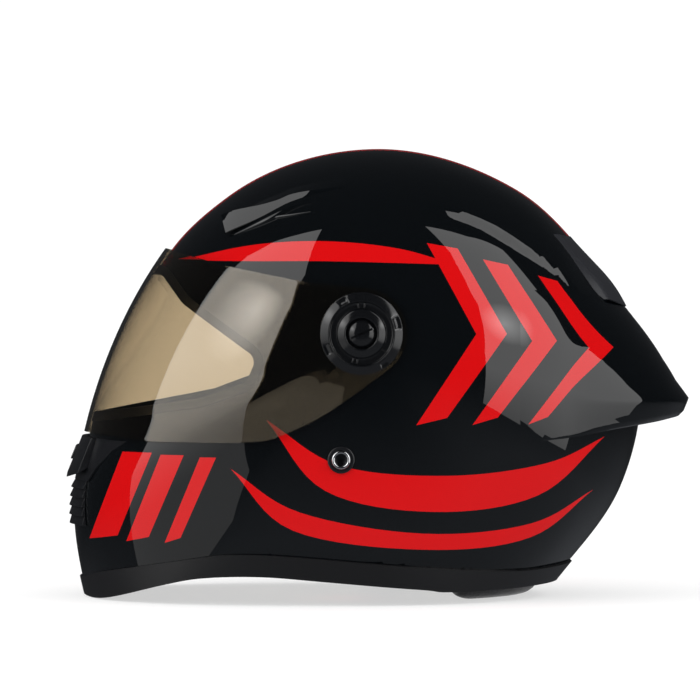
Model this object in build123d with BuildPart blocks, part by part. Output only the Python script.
from build123d import *
import os
from functools import cache
from math import cos, sin, radians, sqrt

# A full-face auto racing helmet, in millimetres.
# +Z is up, the face looks along -X and the wearer's left side is -Y.
# The origin lies under the middle of the helmet, on the surface that it stands on.

os.makedirs("parts", exist_ok=True)

# Overall size
helmet_length = 355.0
helmet_height = 254.0
half_width = 126.0

# Walls and clearances
shell_wall = 4.0
fit_gap = 0.2
pad_gap = 0.3
overrun = 30.0

# Visor and its pivots
visor_thickness = 2.0
visor_clearance = 1.4
visor_end_radius = 25.0
pivot_x = -10.0
pivot_z = 150.4
pivot_pocket_wall = 2.2
base_plate_radius = 21.5
base_plate_thickness = 2.4
pivot_hub_radius = 8.0
pivot_running_gap = 0.1
pivot_cover_radius = 22.75
pivot_cover_height = 4.6
pivot_screw_radius = 3.0
pivot_screw_head_radius = 6.6
visor_tab_width = 8.0
visor_tab_thickness = 2.4
visor_tab_drop = 3.2

# Rubber edges
trim_skin = 1.5
trim_grip = 8.0
gasket_skin = 0.9
gasket_inner_skin = 1.5
gasket_lip = 1.6
gasket_grip = 3.4
eye_port_corner = 8.0

# Liner and pads
liner_thickness = 28.0
crown_pad_thickness = 8.0
cheek_face_y = 64.0
cheek_corner = 7.0
chin_liner_thickness = 18.0
neck_roll_thickness = 24.0
pad_round = 4.0
roll_round = 5.0

# Vents and tail
vent_skin = 1.4
chin_vent_proud = 3.6
chin_vent_tip = 7.0
chin_vent_half_width = 44.0
louvre_count = 5
louvre_tip = 18.0
louvre_root = 0.8
chin_slider_width = 16.0
chin_slider_height = 8.0
chin_slider_travel = 6.0
chin_slider_proud = 1.2
chin_slider_pocket = 1.6
chin_slider_below = 6.0
brow_vent_proud = 4.6
brow_slider_room = 0.6
rear_vent_proud = 3.4
spoiler_gap = 0.2

# Chin strap, its rivets and its buckle
strap_x = -21.2
strap_rivet_z = 81.0
strap_width = 22.0
strap_thickness = 2.0
strap_bend = 12.0
rivet_shank_radius = 3.0
rivet_head_radius = 5.25
rivet_head_height = 1.6
rivet_washer_radius = 7.45
rivet_washer_height = 1.5
buckle_length = 38.0
buckle_wall = 1.5
buckle_depth = 8.0
buckle_outer_y = -58.0
buckle_base_z = 27.0
tongue_length = 70.0
tongue_width = 14.0
tongue_thickness = 2.0
tongue_pitch = 3.0
tongue_tooth = 1.0
lever_pin_radius = 1.5


# The side view: a point is a share of the length and a share of the height.
def side(share):
    return (share[0] * helmet_length, share[1] * helmet_height)


# The middle outline of the shell, clockwise from below, each with its heading in degrees.
profile_shares = [
    (-0.028, -0.362, 180),
    (-0.445, -0.126, 105),
    (-0.490, 0.187, 91),
    (-0.463, 0.370, 76.6),
    (-0.333, 0.773, 54),
    (-0.239, 0.896, 36),
    (0.000, 1.000, 0),
    (0.221, 0.909, -30.5),
    (0.351, 0.728, -52),
    (0.4225, 0.482, -88),
    (0.389, 0.242, -113),
    (0.276, 0.022, -127),
]
section_shares = [0.12, 0.30, 0.50, 0.68, 0.83, 0.94]
side_power = 2.4
points_per_span = 3


def profile_points(depth):
    """Points of the middle outline, moved inwards by depth."""
    anchors = []
    for x_share, z_share, heading in profile_shares:
        x, z = side((x_share, z_share))
        along = radians(heading)
        direction = (cos(along), sin(along))
        anchors.append((x + depth * sin(along), z - depth * cos(along), direction))
    points = []
    for (x0, z0, d0), (x1, z1, d1) in zip(anchors, anchors[1:] + anchors[:1]):
        handle = sqrt((x1 - x0) ** 2 + (z1 - z0) ** 2) / 3
        corners = [
            (x0, z0),
            (x0 + handle * d0[0], z0 + handle * d0[1]),
            (x1 - handle * d1[0], z1 - handle * d1[1]),
            (x1, z1),
        ]
        for step in range(points_per_span):
            t = step / points_per_span
            weights = [(1 - t) ** 3, 3 * t * (1 - t) ** 2, 3 * t * t * (1 - t), t**3]
            points.append(tuple(sum(w * c[i] for w, c in zip(weights, corners)) for i in (0, 1)))
    return points


def side_y(depth, share):
    """How far out from the middle the section of that share stands."""
    return (half_width - depth) * sqrt(1 - share**side_power)


@cache
def ovoid(depth):
    """The head-shaped solid whose skin lies at depth under the shell's outer face."""
    outline = profile_points(depth)
    stations = [(share, -side_y(depth, share)) for share in section_shares]
    stations += [(1, 0)] + [(share, side_y(depth, share)) for share in reversed(section_shares)]
    with BuildPart() as solid:
        for share, y in stations:
            with BuildSketch(Plane.XZ.offset(-y)):
                with BuildLine():
                    Spline(
                        *[
                            (pivot_x + share * (x - pivot_x), pivot_z + share * (z - pivot_z))
                            for x, z in outline
                        ],
                        periodic=True,
                    )
                make_face()
        loft()
    return solid.part


def layer(outer_depth, inner_depth):
    """A wall that follows the shell, from outer_depth to inner_depth."""
    with BuildPart() as wall:
        add(ovoid(outer_depth))
        add(ovoid(inner_depth), mode=Mode.SUBTRACT)
    return wall.part


side_reach = half_width + overrun


def prism(shares, grow=0.0, corner=0.0):
    """A side-view outline carried across the whole width."""
    with BuildPart() as block:
        with BuildSketch(Plane.XZ):
            with BuildLine():
                Polyline(*[side(s) for s in shares], close=True)
            make_face()
            if corner:
                fillet(vertices(), corner)
            if grow:
                offset(amount=grow)
        extrude(amount=side_reach, both=True)
    return block.part


def prism_between(upper_shares, lower_shares):
    """The band between two smooth side-view lines, carried across the whole width."""
    with BuildPart() as block:
        with BuildSketch(Plane.XZ):
            with BuildLine():
                top = Spline(*[side(s) for s in upper_shares])
                bottom = Spline(*[side(s) for s in lower_shares])
                Line(top @ 0, bottom @ 0)
                Line(top @ 1, bottom @ 1)
            make_face()
        extrude(amount=side_reach, both=True)
    return block.part


def slab(low, high):
    """A block between two corners."""
    with BuildPart() as block:
        middle = tuple((a + b) / 2 for a, b in zip(low, high))
        with Locations(middle):
            Box(*[b - a for a, b in zip(low, high)])
    return block.part


def across(radius, y_low, y_high, x=pivot_x, z=pivot_z):
    """A round bar along Y."""
    with BuildPart() as bar:
        with BuildSketch(Plane.XZ.offset(-y_low)):
            with Locations((x, z)):
                Circle(radius)
        extrude(amount=-(y_high - y_low))
    return bar.part


def both_sides(solid):
    """A solid and its mirror image about the middle plane."""
    with BuildPart() as pair:
        add(solid)
        mirror(about=Plane.XZ)
    return pair.part


def save(solid, name):
    solid.label = name
    export_step(solid, f"parts/{name}.step")
    print(name, len(solid.solids()), round(solid.volume))


# Side-view outlines
eye_port_shares = [
    (-0.540, 0.757),
    (-0.338, 0.722),
    (-0.303, 0.659),
    (-0.184, 0.540),
    (-0.203, 0.480),
    (-0.274, 0.444),
    (-0.540, 0.386),
]
lower_edge_shares = [
    (-0.560, 0.020),
    (-0.485, 0.040),
    (-0.430, 0.065),
    (-0.278, 0.103),
    (-0.212, 0.1105),
    (-0.125, 0.1055),
    (0.034, 0.086),
    (0.198, 0.068),
    (0.294, 0.072),
    (0.560, 0.110),
]
trim_foot_shares = [
    (-0.4795, 0.0),
    (-0.4350, 0.0),
    (-0.3400, 0.040),
    (-0.2750, 0.058),
    (-0.1840, 0.062),
    (-0.0810, 0.051),
    (0.0650, 0.033),
    (0.1200, 0.026),
    (0.3000, 0.034),
    (0.5600, 0.070),
]
shell_outer = ovoid(0)
shell_inner = ovoid(shell_wall)
skin_inside = shell_wall + gasket_inner_skin
eye_port = prism(eye_port_shares, corner=eye_port_corner)
eye_port_edge = prism(eye_port_shares, grow=-fit_gap, corner=eye_port_corner)
eye_port_grip = prism(eye_port_shares, grow=gasket_grip, corner=eye_port_corner)
eye_port_lip = prism(eye_port_shares, grow=-gasket_lip, corner=eye_port_corner)
eye_port_clear = prism(eye_port_shares, grow=gasket_grip + pad_gap, corner=eye_port_corner)


def line_lowered(shares, drop):
    """A side-view line moved down by a real length."""
    return [(x, z - drop / helmet_height) for x, z in shares]


floor_line_shares = [(-0.560, -0.600), (0.560, -0.600)]
below_shell = prism_between(line_lowered(lower_edge_shares, trim_grip), floor_line_shares)
below_slot = prism_between(line_lowered(lower_edge_shares, trim_grip + fit_gap), floor_line_shares)
below_trim = prism_between(trim_foot_shares, floor_line_shares)
trim_band = prism_between(lower_edge_shares, trim_foot_shares)

# Pivot stack, counted outwards from the middle plane
pivot_pocket_y = side_y(shell_wall, section_shares[0]) + pivot_pocket_wall
plate_face_y = pivot_pocket_y + fit_gap + base_plate_thickness
visor_face_y = plate_face_y + pad_gap
visor_out_y = visor_face_y + visor_thickness
cover_face_y = visor_out_y + pad_gap
cover_top_y = cover_face_y + pivot_cover_height
pocket_radius = base_plate_radius + fit_gap
far_y = half_width + overrun
pivot_pocket = both_sides(across(pocket_radius, pivot_pocket_y, far_y))
pivot_bore = both_sides(across(pivot_screw_radius + pivot_running_gap, pivot_pocket_wall, far_y))

# Brow vents, rear vent and chin vent
brow_vent_shares = [
    (-0.2375, 0.8402),
    (-0.1990, 0.8630),
    (-0.1513, 0.8851),
    (-0.1050, 0.8990),
    (-0.0540, 0.9040),
]
brow_vent_foot_shares = [
    (-0.2361, 0.8114),
    (-0.1831, 0.8465),
    (-0.1352, 0.8779),
    (-0.0980, 0.8950),
    (-0.0540, 0.9035),
]
brow_cavity_shares = [
    (-0.245, 0.8345),
    (-0.2375, 0.8345),
    (-0.1990, 0.8575),
    (-0.1600, 0.8740),
    (-0.1600, 0.8680),
    (-0.1831, 0.8530),
    (-0.2361, 0.8180),
    (-0.245, 0.8130),
]
brow_slider_shares = [
    (-0.2340, 0.8290),
    (-0.2190, 0.8390),
    (-0.2190, 0.8310),
    (-0.2340, 0.8205),
]
rear_vent_shares = [
    (0.263, 0.803),
    (0.3535, 0.661),
    (0.410, 0.6315),
    (0.560, 0.560),
    (0.560, 0.803),
    (0.330, 0.803),
]
rear_vent_half_width = 46.0
rear_slot_shares = [
    (0.300, 0.760),
    (0.345, 0.690),
    (0.3535, 0.640),
    (0.410, 0.600),
    (0.560, 0.540),
    (0.560, 0.760),
]
chin_vent_shares = [
    (-0.500, 0.360),
    (-0.430, 0.353),
    (-0.407, 0.3366),
    (-0.4752, 0.2791),
    (-0.500, 0.2655),
]
louvre_top_share = 0.262
louvre_foot_share = 0.161
vent_passage_shares = [(-0.560, 0.335), (-0.444, 0.335), (-0.452, 0.180), (-0.560, 0.180)]

chin_strip = slab(
    (-helmet_length, -chin_vent_half_width, 0), (0, chin_vent_half_width, helmet_height)
)
passage_half_width = chin_vent_half_width - 3 * shell_wall
chin_passage = slab((-helmet_length, -passage_half_width, 0), (0, passage_half_width, helmet_height))

with BuildPart() as chin_opening:
    add(prism(vent_passage_shares))
    add(chin_passage, mode=Mode.INTERSECT)

# The shell, one moulded wall open at the face and the neck
rivet_bore = both_sides(
    across(rivet_shank_radius + fit_gap, pivot_pocket_wall, far_y, strap_x, strap_rivet_z)
)
with BuildPart() as shell:
    add(shell_outer)
    add(shell_inner, mode=Mode.SUBTRACT)
    add(below_shell, mode=Mode.SUBTRACT)
    add(eye_port, mode=Mode.SUBTRACT)
    add(pivot_pocket, mode=Mode.SUBTRACT)
    add(pivot_bore, mode=Mode.SUBTRACT)
    add(rivet_bore, mode=Mode.SUBTRACT)
    add(chin_opening.part, mode=Mode.SUBTRACT)
save(shell.part, "shell")

# The rubber channel round the lower edge
with BuildPart() as trim_slot:
    add(layer(-fit_gap, shell_wall + fit_gap))
    add(below_slot, mode=Mode.SUBTRACT)
with BuildPart() as edge_trim:
    add(layer(-trim_skin, shell_wall + trim_skin))
    add(trim_band, mode=Mode.INTERSECT)
    add(trim_slot.part, mode=Mode.SUBTRACT)
    add(
        slab((-helmet_length, -side_reach, 0), (helmet_length, side_reach, helmet_height)),
        mode=Mode.INTERSECT,
    )
save(edge_trim.part, "edge_trim")

# The rubber bead round the eye port
with BuildPart() as gasket_slot:
    add(layer(-fit_gap, shell_wall + fit_gap))
    add(eye_port_edge, mode=Mode.SUBTRACT)
with BuildPart() as eyeport_gasket:
    add(layer(-gasket_skin, skin_inside))
    add(eye_port_grip, mode=Mode.INTERSECT)
    add(eye_port_lip, mode=Mode.SUBTRACT)
    add(gasket_slot.part, mode=Mode.SUBTRACT)
save(eyeport_gasket.part, "eyeport_gasket")

# Liner and pads
liner_outer = shell_wall + pad_gap
liner_inner = liner_outer + liner_thickness
crown_outer = liner_inner + pad_gap
crown_inner = crown_outer + crown_pad_thickness
roll_outer = shell_wall + trim_skin + pad_gap
liner_shares = [
    (-0.560, 0.790),
    (-0.330, 0.760),
    (-0.290, 0.700),
    (-0.165, 0.560),
    (-0.150, 0.490),
    (0.030, 0.430),
    (0.065, 0.160),
    (0.560, 0.160),
    (0.560, 1.200),
    (-0.560, 1.200),
]
crown_shares = [
    (-0.560, 0.840),
    (-0.300, 0.790),
    (-0.200, 0.690),
    (-0.135, 0.600),
    (-0.120, 0.520),
    (0.060, 0.460),
    (0.110, 0.200),
    (0.560, 0.200),
    (0.560, 1.200),
    (-0.560, 1.200),
]
with BuildPart() as impact_liner:
    add(layer(liner_outer, liner_inner))
    add(prism(liner_shares), mode=Mode.INTERSECT)
    add(eye_port_clear, mode=Mode.SUBTRACT)
save(impact_liner.part, "impact_liner")
with BuildPart() as crown_pad:
    add(layer(crown_outer, crown_inner))
    add(prism(crown_shares), mode=Mode.INTERSECT)
save(crown_pad.part, "crown_pad")

chin_liner_shares = [(-0.560, 0.362), (-0.350, 0.370), (-0.318, 0.180), (-0.560, 0.130)]
with BuildPart() as chin_bar_liner:
    add(layer(liner_outer, liner_outer + chin_liner_thickness))
    add(prism(chin_liner_shares), mode=Mode.INTERSECT)
save(chin_bar_liner.part, "chin_bar_liner")

cheek_shares = [
    (-0.300, 0.385),
    (-0.205, 0.425),
    (-0.168, 0.475),
    (0.000, 0.425),
    (0.022, 0.400),
    (0.048, 0.180),
    (0.020, 0.140),
    (-0.180, 0.145),
    (-0.290, 0.165),
]
cheek_centre_share = (-0.130, 0.285)
# From the cheek outwards: each row holds a depth and the size of the outline there, as shares.
cheek_section_shares = [
    (0.00, 0.800),
    (0.04, 0.900),
    (0.13, 0.965),
    (0.32, 1.000),
    (0.64, 0.970),
    (1.00, 1.000),
]


def cheek_corner_point(share, outline_share):
    """A corner of the cheek pad's outline, drawn in towards its middle."""
    x, z = side(share)
    middle_x, middle_z = side(cheek_centre_share)
    return (middle_x + (x - middle_x) * outline_share, middle_z + (z - middle_z) * outline_share)


# The chin strap runs down inside the shell and then level across the neck opening
strap_half = strap_width / 2
strap_high = strap_rivet_z + strap_half
strap_drop_y = side_y(shell_wall + pad_gap, section_shares[1]) - strap_thickness
strap_bend_y = half_width - shell_wall - trim_skin - strap_bend - strap_thickness - pad_gap
strap_left_z = buckle_base_z + buckle_wall + fit_gap + strap_thickness / 2
tongue_z = buckle_base_z - fit_gap - tongue_thickness
strap_right_z = tongue_z + tongue_thickness + fit_gap + strap_thickness / 2
strap_left_end = buckle_outer_y + buckle_length / 2
tongue_end_y = buckle_outer_y + tongue_length


def strap(end_y, level):
    """One half of the webbing on the wearer's right side, from its rivet to end_y."""
    with BuildPart() as band:
        with BuildSketch(Plane.YZ.offset(strap_x - strap_half)):
            with BuildLine():
                path = FilletPolyline(
                    (strap_drop_y, strap_high), (strap_bend_y, level), (end_y, level), radius=strap_bend
                )
                offset(path, amount=strap_thickness / 2, side=Side.BOTH)
            make_face()
        extrude(amount=strap_width)
    return band.part


strap_clear = strap_thickness / 2 + pad_gap
strap_inner_y = strap_drop_y - 2 * strap_thickness
rivet_room_y = strap_inner_y - rivet_head_height - pad_gap
rivet_room = across(rivet_head_radius + pad_gap, rivet_room_y, far_y, strap_x, strap_rivet_z)
with BuildPart() as strap_channel:
    with BuildSketch(Plane.YZ.offset(strap_x - strap_half - pad_gap)):
        with BuildLine():
            Polyline(
                (strap_drop_y - strap_clear, strap_high + strap_clear),
                (strap_bend_y - strap_clear - strap_bend / 2, strap_left_z),
                (far_y, strap_left_z),
                (far_y, strap_high + strap_clear),
                close=True,
            )
        make_face()
    extrude(amount=strap_width + 2 * pad_gap)

with BuildPart() as cheek_form:
    for depth_share, outline_share in cheek_section_shares:
        section_y = cheek_face_y + depth_share * (half_width - cheek_face_y)
        with BuildSketch(Plane.XZ.offset(-section_y)):
            with BuildLine():
                FilletPolyline(
                    *[cheek_corner_point(share, outline_share) for share in cheek_shares],
                    radius=cheek_corner * outline_share,
                    close=True,
                )
            make_face()
    loft()
with BuildPart() as cheek_pad:
    add(cheek_form.part)
    add(ovoid(liner_outer), mode=Mode.INTERSECT)
    add(strap_channel.part, mode=Mode.SUBTRACT)
    add(rivet_room, mode=Mode.SUBTRACT)
save(cheek_pad.part, "cheek_pad_right")
save(mirror(cheek_pad.part, about=Plane.XZ), "cheek_pad_left")

neck_roll_shares = [
    (0.045, 0.120),
    (0.080, 0.050),
    (0.128, 0.000),
    (0.272, 0.000),
    (0.300, 0.040),
    (0.360, 0.120),
]
with BuildPart() as neck_roll:
    add(layer(roll_outer, roll_outer + neck_roll_thickness))
    add(prism(neck_roll_shares), mode=Mode.INTERSECT)
    fillet(edges(), roll_round)
save(neck_roll.part, "neck_roll")

deflector_shares = [(-0.560, 0.385), (-0.400, 0.385), (-0.400, 0.3690), (-0.560, 0.3628)]
deflector_half_width = 32.0
deflector_depth = liner_outer + shell_wall
with BuildPart() as breath_deflector:
    add(layer(deflector_depth, deflector_depth + shell_wall))
    add(prism(deflector_shares), mode=Mode.INTERSECT)
    add(
        slab((-helmet_length, -deflector_half_width, 0), (0, deflector_half_width, helmet_height)),
        mode=Mode.INTERSECT,
    )
save(breath_deflector.part, "breath_deflector")

# The visor, one wrapped sheet whose flat round ends turn on the hubs of the base plates
visor_shares = [
    (-0.564, 0.861),
    (-0.239, 0.738),
    (-0.112, 0.702),
]
visor_foot_shares = [
    (-0.071, 0.4295),
    (-0.1225, 0.3898),
    (-0.175, 0.3610),
    (-0.225, 0.3555),
]
visor_front_foot_shares = [(-0.358, 0.3555), (-0.434, 0.3670), (-0.564, 0.3690)]
end_low = radians(-54)
with BuildPart() as visor_prism:
    with BuildSketch(Plane.XZ):
        with BuildLine():
            top = Polyline(*[side(s) for s in visor_shares], (pivot_x, pivot_z + visor_end_radius))
            end = ThreePointArc(
                top @ 1,
                (pivot_x + visor_end_radius, pivot_z),
                (
                    pivot_x + visor_end_radius * cos(end_low),
                    pivot_z + visor_end_radius * sin(end_low),
                ),
            )
            low = Spline(
                end @ 1,
                *[side(s) for s in visor_foot_shares],
                tangents=[(sin(end_low), -cos(end_low)), (-1, 0)],
            )
            Polyline(low @ 1, *[side(s) for s in visor_front_foot_shares], top @ 0)
        make_face()
    extrude(amount=side_reach, both=True)
visor_end = both_sides(across(visor_end_radius, visor_face_y, visor_out_y))
visor_end_clear = both_sides(across(visor_end_radius, pivot_pocket_wall, far_y))
visor_bore = both_sides(across(pivot_hub_radius + pivot_running_gap, pivot_pocket_wall, far_y))
visor_outer_depth = -(visor_clearance + visor_thickness)
tab_x_share = -0.404
tab_foot_share = 0.3575
tab_x, tab_z = side((tab_x_share, tab_foot_share))
with BuildPart() as visor_tab:
    add(layer(visor_outer_depth - visor_tab_thickness, visor_outer_depth + visor_thickness / 2))
    add(
        slab(
            (tab_x - visor_tab_width / 2, -far_y, tab_z),
            (tab_x + visor_tab_width / 2, 0, tab_z + 2 * visor_tab_drop),
        ),
        mode=Mode.INTERSECT,
    )
with BuildPart() as visor:
    add(layer(visor_outer_depth, -visor_clearance))
    add(visor_prism.part, mode=Mode.INTERSECT)
    add(visor_end_clear, mode=Mode.SUBTRACT)
    add(visor_end)
    add(visor_bore, mode=Mode.SUBTRACT)
    add(visor_tab.part)
save(visor.part, "visor")

# Pivot: base plate in its pocket, round cover and screw
with BuildPart() as base_plate:
    add(across(base_plate_radius, pivot_pocket_y + fit_gap, plate_face_y))
    add(across(pivot_hub_radius, plate_face_y, cover_face_y - fit_gap))
    add(across(pivot_screw_radius, pivot_pocket_y, far_y), mode=Mode.SUBTRACT)
save(mirror(base_plate.part, about=Plane.XZ), "visor_base_plate_left")
save(base_plate.part, "visor_base_plate_right")

cover_notch_count = 6
cover_notch_width = 1.2
cover_ring_radius = 17.4
cover_step = 1.2
with BuildPart() as pivot_cover:
    with BuildSketch(Plane.XY) as cover_section:
        with BuildLine():
            foot = Line((pivot_screw_radius + fit_gap, 0), (pivot_cover_radius, 0))
            rim = Line(foot @ 1, (pivot_cover_radius, cover_step))
            slope = Line(rim @ 1, (cover_ring_radius, pivot_cover_height - cover_step))
            step = Line(slope @ 1, (cover_ring_radius - cover_step, pivot_cover_height))
            face = Line(step @ 1, (pivot_screw_head_radius + fit_gap, pivot_cover_height))
            well = Line(face @ 1, (pivot_screw_head_radius + fit_gap, pivot_cover_height / 2))
            seat = Line(well @ 1, (pivot_screw_radius + fit_gap, pivot_cover_height / 2))
            Line(seat @ 1, foot @ 0)
        make_face()
    revolve(axis=Axis.Y)
    with BuildSketch(Plane.XZ.offset(-pivot_cover_height)):
        with PolarLocations((pivot_screw_head_radius + cover_ring_radius) / 2, cover_notch_count):
            Rectangle(cover_ring_radius - pivot_screw_head_radius, cover_notch_width)
    extrude(amount=cover_step, mode=Mode.SUBTRACT)
pivot_cover_right = pivot_cover.part.moved(Location((pivot_x, cover_face_y, pivot_z)))
save(mirror(pivot_cover_right, about=Plane.XZ), "pivot_cover_left")
save(pivot_cover_right, "pivot_cover_right")

screw_seat_y = cover_face_y + pivot_cover_height / 2 + pivot_running_gap
screw_slot = slab(
    (pivot_x - pivot_screw_head_radius, cover_top_y - cover_step, pivot_z - cover_notch_width / 2),
    (pivot_x + pivot_screw_head_radius, far_y, pivot_z + cover_notch_width / 2),
)
with BuildPart() as pivot_screw:
    add(across(pivot_screw_head_radius, screw_seat_y, cover_top_y))
    add(across(pivot_screw_radius - pivot_running_gap, pivot_pocket_y + fit_gap, screw_seat_y))
    add(screw_slot, mode=Mode.SUBTRACT)
save(both_sides(pivot_screw.part), "pivot_screws")

# Rivets of the chin strap, with the washers that lie on the shell
shell_side_y = side_y(0, section_shares[1])
washer_top_y = shell_side_y + rivet_washer_height
bore_clear = across(rivet_shank_radius + fit_gap, 0, far_y, strap_x, strap_rivet_z)
with BuildPart() as washer:
    add(across(rivet_washer_radius, pivot_pocket_wall, washer_top_y, strap_x, strap_rivet_z))
    add(ovoid(-fit_gap), mode=Mode.SUBTRACT)
    add(bore_clear, mode=Mode.SUBTRACT)
save(both_sides(washer.part), "rivet_washers")
with BuildPart() as rivet:
    add(across(rivet_shank_radius, strap_inner_y, washer_top_y + fit_gap, strap_x, strap_rivet_z))
    add(
        across(
            rivet_head_radius,
            washer_top_y + fit_gap,
            washer_top_y + fit_gap + rivet_head_height,
            strap_x,
            strap_rivet_z,
        )
    )
    fillet(edges().group_by(Axis.Y)[-1], rivet_head_height / 2)
    add(
        across(
            rivet_head_radius,
            strap_inner_y - rivet_head_height,
            strap_inner_y,
            strap_x,
            strap_rivet_z,
        )
    )
save(mirror(rivet.part, about=Plane.XZ), "strap_rivet_left")
save(rivet.part, "strap_rivet_right")

# The two halves of the webbing
with BuildPart() as strap_right:
    add(strap(tongue_end_y - 3 * strap_half / 2, strap_right_z))
    add(bore_clear, mode=Mode.SUBTRACT)
save(strap_right.part, "chin_strap_right")
with BuildPart() as strap_left:
    add(strap(-strap_left_end, strap_left_z))
    add(bore_clear, mode=Mode.SUBTRACT)
save(mirror(strap_left.part, about=Plane.XZ), "chin_strap_left")

# Quick-release buckle: frame, toothed tongue and sprung lever
wall_x = tongue_width / 2 + fit_gap
lever_pin_y = buckle_outer_y + 2.5 * lever_pin_radius
lever_pin_z = buckle_base_z - buckle_depth + 2 * lever_pin_radius
frame_low = (strap_x - wall_x - buckle_wall, buckle_outer_y, buckle_base_z)
frame_high = (strap_x + wall_x + buckle_wall, buckle_outer_y + buckle_length, buckle_base_z + buckle_wall)
with BuildPart() as pin_bar:
    with BuildSketch(Plane.YZ.offset(strap_x)):
        with Locations((lever_pin_y, lever_pin_z)):
            Circle(lever_pin_radius)
    extrude(amount=wall_x + buckle_wall, both=True)
with BuildPart() as pin_clear:
    with BuildSketch(Plane.YZ.offset(strap_x)):
        with Locations((lever_pin_y, lever_pin_z)):
            Circle(lever_pin_radius + pivot_running_gap)
    extrude(amount=strap_width, both=True)
with BuildPart() as buckle_frame:
    add(slab(frame_low, frame_high))
    for wall_side in (-1, 1):
        face_x = strap_x + wall_side * wall_x
        back_x = face_x + wall_side * buckle_wall
        add(
            slab(
                (min(face_x, back_x), buckle_outer_y, buckle_base_z - buckle_depth),
                (max(face_x, back_x), buckle_outer_y + buckle_length, buckle_base_z),
            )
        )
    add(pin_clear.part, mode=Mode.SUBTRACT)
save(buckle_frame.part, "buckle_frame")

tongue_start_y = lever_pin_y + 2.5 * lever_pin_radius
tooth_count = int((buckle_length - buckle_wall) / tongue_pitch)
with BuildPart() as ladder_tongue:
    with BuildSketch(Plane.YZ.offset(strap_x - tongue_width / 2)):
        with BuildLine():
            corners = [(tongue_start_y, tongue_z + tongue_thickness), (tongue_start_y, tongue_z)]
            for tooth in range(1, tooth_count + 1):
                tooth_y = tongue_start_y + tooth * tongue_pitch
                corners.append((tooth_y - tongue_tooth / 2, tongue_z))
                corners.append((tooth_y, tongue_z + tongue_tooth))
            Polyline(
                *corners,
                (tongue_end_y, tongue_z + tongue_tooth),
                (tongue_end_y, tongue_z + tongue_thickness),
                close=True,
            )
        make_face()
    extrude(amount=tongue_width)
save(ladder_tongue.part, "ladder_tongue")

lever_top_z = tongue_z - fit_gap
lever_thickness = 2.0
lever_length = buckle_length + 2 * lever_thickness
lever_half = wall_x - fit_gap
with BuildPart() as buckle_lever:
    with BuildSketch(Plane.YZ.offset(strap_x)):
        with BuildLine():
            Polyline(
                (lever_pin_y - 1.6 * lever_pin_radius, lever_pin_z - lever_pin_radius),
                (lever_pin_y + lever_length, lever_pin_z - lever_pin_radius - lever_thickness),
                (lever_pin_y + lever_length, lever_pin_z - lever_pin_radius),
                (lever_pin_y + 6 * lever_pin_radius, lever_pin_z + lever_pin_radius / 2),
                (lever_pin_y + 5 * lever_pin_radius, lever_top_z),
                (lever_pin_y + 4 * lever_pin_radius, lever_top_z),
                (lever_pin_y + 3 * lever_pin_radius, lever_pin_z + 1.3 * lever_pin_radius),
                (lever_pin_y - 1.6 * lever_pin_radius, lever_pin_z + 1.3 * lever_pin_radius),
                close=True,
            )
        make_face()
    extrude(amount=lever_half, both=True)
    add(pin_bar.part)
save(buckle_lever.part, "buckle_lever")

# Brow vents, open at the front, each with a shutter that slides in it
right_half = slab((-helmet_length, 0, 0), (helmet_length, far_y, 2 * helmet_height))
with BuildPart() as brow_vent:
    add(layer(-brow_vent_proud, -fit_gap))
    add(prism_between(brow_vent_shares, brow_vent_foot_shares), mode=Mode.INTERSECT)
    add(right_half, mode=Mode.INTERSECT)
with BuildPart() as brow_cavity:
    add(layer(-(brow_vent_proud - vent_skin), fit_gap))
    add(prism(brow_cavity_shares), mode=Mode.INTERSECT)
with BuildPart() as brow_vent_open:
    add(brow_vent.part)
    add(brow_cavity.part, mode=Mode.SUBTRACT)
save(mirror(brow_vent_open.part, about=Plane.XZ), "brow_vent_left")
save(brow_vent_open.part, "brow_vent_right")
with BuildPart() as brow_slider:
    add(layer(-(brow_vent_proud - vent_skin - brow_slider_room), -brow_slider_room))
    add(prism(brow_slider_shares), mode=Mode.INTERSECT)
    add(right_half, mode=Mode.INTERSECT)
save(mirror(brow_slider.part, about=Plane.XZ), "brow_vent_slider_left")
save(brow_slider.part, "brow_vent_slider_right")

# Rear exhaust cover with its open slot, over the tail
rear_strip = slab(
    (0, -rear_vent_half_width, 0), (helmet_length, rear_vent_half_width, helmet_height)
)
with BuildPart() as rear_vent_cover:
    add(layer(-rear_vent_proud, -fit_gap))
    add(prism(rear_vent_shares), mode=Mode.INTERSECT)
    add(rear_strip, mode=Mode.INTERSECT)
with BuildPart() as rear_slot:
    add(layer(-(rear_vent_proud - vent_skin), fit_gap))
    add(prism(rear_slot_shares), mode=Mode.INTERSECT)
with BuildPart() as rear_vent_open:
    add(rear_vent_cover.part)
    add(rear_slot.part, mode=Mode.SUBTRACT)
save(rear_vent_open.part, "rear_vent_cover")

# The tail: sections across the helmet, each half an ellipse over a flat underside.
# Each row holds x and z of its underside as shares, its half width and its rise as shares.
spoiler_shares = [
    (0.150, 0.315, 0.880, 0.180),
    (0.258, 0.356, 0.806, 0.260),
    (0.345, 0.372, 0.625, 0.270),
    (0.405, 0.380, 0.500, 0.241),
    (0.450, 0.395, 0.405, 0.144),
    (0.480, 0.410, 0.320, 0.067),
    (0.500, 0.424, 0.230, 0.014),
]
with BuildPart() as spoiler_body:
    for x_share, z_share, width_share, rise_share in spoiler_shares:
        x, z = side((x_share, z_share))
        with BuildSketch(Plane.YZ.offset(x)):
            with BuildLine():
                arch = EllipticalCenterArc(
                    (0, z), half_width * width_share, helmet_height * rise_share, arc_size=180
                )
                Line(arch @ 1, arch @ 0)
            make_face()
    loft()
with BuildPart() as rear_cover_room:
    add(layer(-rear_vent_proud - fit_gap, -fit_gap / 2))
    add(prism(rear_vent_shares, grow=fit_gap), mode=Mode.INTERSECT)
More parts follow.
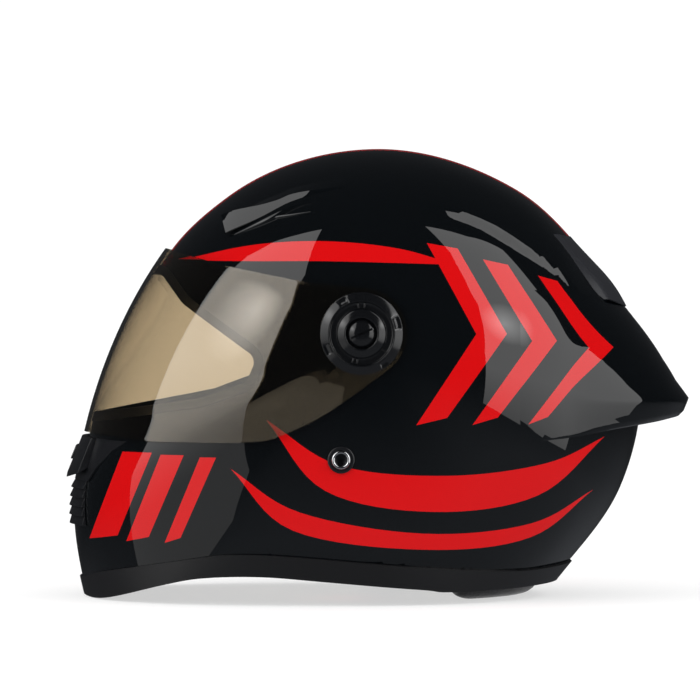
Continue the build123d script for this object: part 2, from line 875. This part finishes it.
with BuildPart() as rear_spoiler:
    add(spoiler_body.part)
    add(ovoid(-spoiler_gap), mode=Mode.SUBTRACT)
    add(rear_cover_room.part, mode=Mode.SUBTRACT)
save(rear_spoiler.part, "rear_spoiler")

# Chin vent: the cover's face is the shell's own, moved out and tipped forwards at the top edge
chin_top = side((-0.463, 0.360))


def tipped(depth, degrees, hinge):
    """The shell's skin at depth, turned about a line along Y through hinge."""
    skin = ovoid(depth).moved(Location((-hinge[0], 0, -hinge[1])))
    return skin.rotate(Axis.Y, degrees).moved(Location((hinge[0], 0, hinge[1])))


with BuildPart() as chin_vent_body:
    add(tipped(-chin_vent_proud, chin_vent_tip, chin_top))
    add(prism(chin_vent_shares), mode=Mode.INTERSECT)
    add(chin_strip, mode=Mode.INTERSECT)
    add(ovoid(-fit_gap), mode=Mode.SUBTRACT)

# A thumb button slides in a pocket of the chin vent cover
pocket_floor = chin_vent_proud - chin_slider_pocket
slider_half = chin_slider_width / 2
slider_top_z = chin_top[1] - chin_slider_below
slider_low_z = slider_top_z - chin_slider_height
pocket_low_z = slider_low_z - chin_slider_travel
with BuildPart() as slider_pocket:
    add(
        slab(
            (-helmet_length, -slider_half - pad_gap, pocket_low_z - pad_gap),
            (0, slider_half + pad_gap, slider_top_z + pad_gap),
        )
    )
    add(tipped(-pocket_floor, chin_vent_tip, chin_top), mode=Mode.SUBTRACT)
with BuildPart() as chin_vent_cover:
    add(chin_vent_body.part)
    add(slider_pocket.part, mode=Mode.SUBTRACT)
save(chin_vent_cover.part, "chin_vent_cover")
with BuildPart() as chin_vent_slider:
    add(tipped(-chin_vent_proud - chin_slider_proud, chin_vent_tip, chin_top))
    add(
        slab((-helmet_length, -slider_half, slider_low_z), (0, slider_half, slider_top_z)),
        mode=Mode.INTERSECT,
    )
    add(tipped(-pocket_floor - pad_gap, chin_vent_tip, chin_top), mode=Mode.SUBTRACT)
save(chin_vent_slider.part, "chin_vent_slider")

louvre_hinge_share = (-0.4825, 0.2115)
louvre_hinge_x = side(louvre_hinge_share)[0]
with BuildPart() as louvres:
    for louvre in range(louvre_count):
        pitch = (louvre_top_share - louvre_foot_share) * helmet_height / louvre_count
        top = louvre_top_share * helmet_height - louvre * pitch
        add(
            tipped(-fit_gap - louvre_root, louvre_tip, (louvre_hinge_x, top)).intersect(
                slab(
                    (-helmet_length, -chin_vent_half_width, top - pitch + fit_gap),
                    (0, chin_vent_half_width, top),
                )
            )
        )
    add(ovoid(-fit_gap), mode=Mode.SUBTRACT)
save(louvres.part, "chin_vent_grille")
